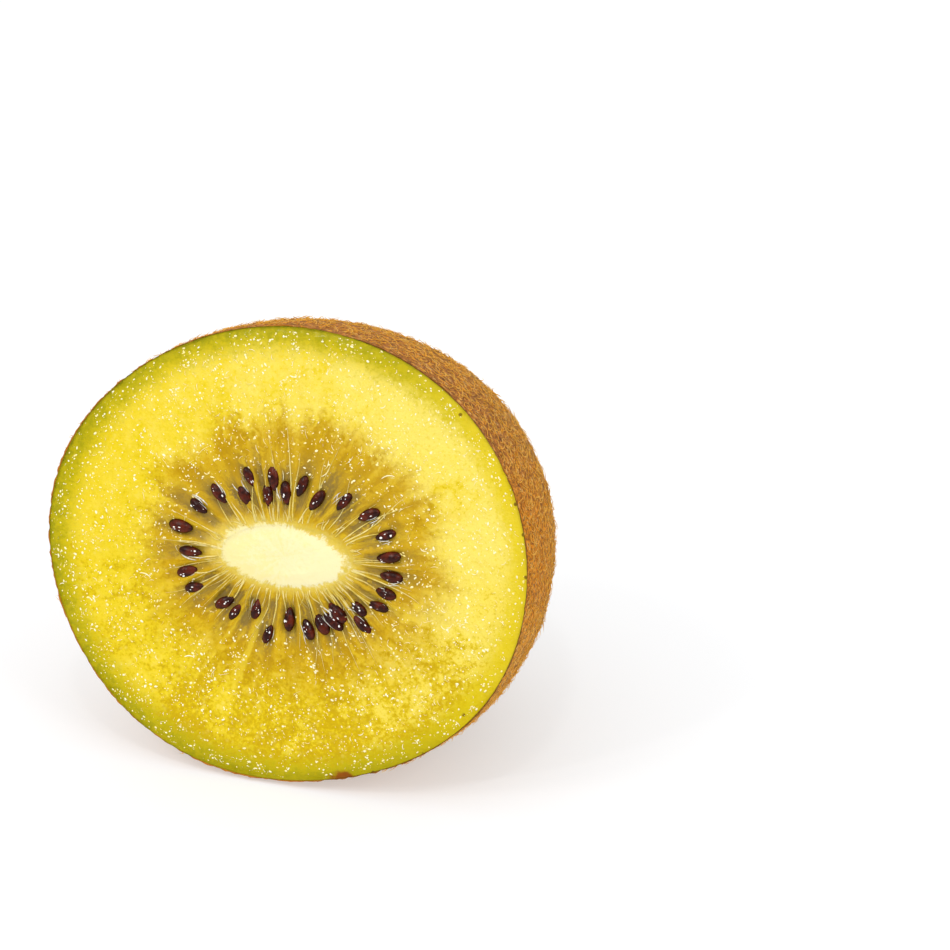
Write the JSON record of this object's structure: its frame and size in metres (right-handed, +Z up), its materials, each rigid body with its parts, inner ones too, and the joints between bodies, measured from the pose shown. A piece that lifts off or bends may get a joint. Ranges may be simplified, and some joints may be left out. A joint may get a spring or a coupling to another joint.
{
  "type": "halved golden kiwi fruit",
  "caption": "Ripe golden kiwi cut across its middle, lying on its side: thin brown skin with a stalk ring, yellow flesh with dark seeds, and a pale oval core.",
  "frame": {"origin": "centre of the bounding box's bottom, on the surface that the fruit rests on", "axes": "+Z up; -Y is the side that the cut face looks to, tilted 14 degrees upward; +X runs along the cut face's wide axis"},
  "size_m": [0.0536, 0.0422, 0.0476],
  "materials": {
    "skin": "dry, matt brown skin with short matted hairs",
    "flesh": "wet, slightly see-through golden yellow flesh, greenish under the skin",
    "core": "firm, moist, cream-white core",
    "seed": "glossy, very dark red-brown"
  },
  "bodies": {
    "root": {"skin": "skin", "flesh": "flesh", "core": "core"}
  },
  "joints": []
}
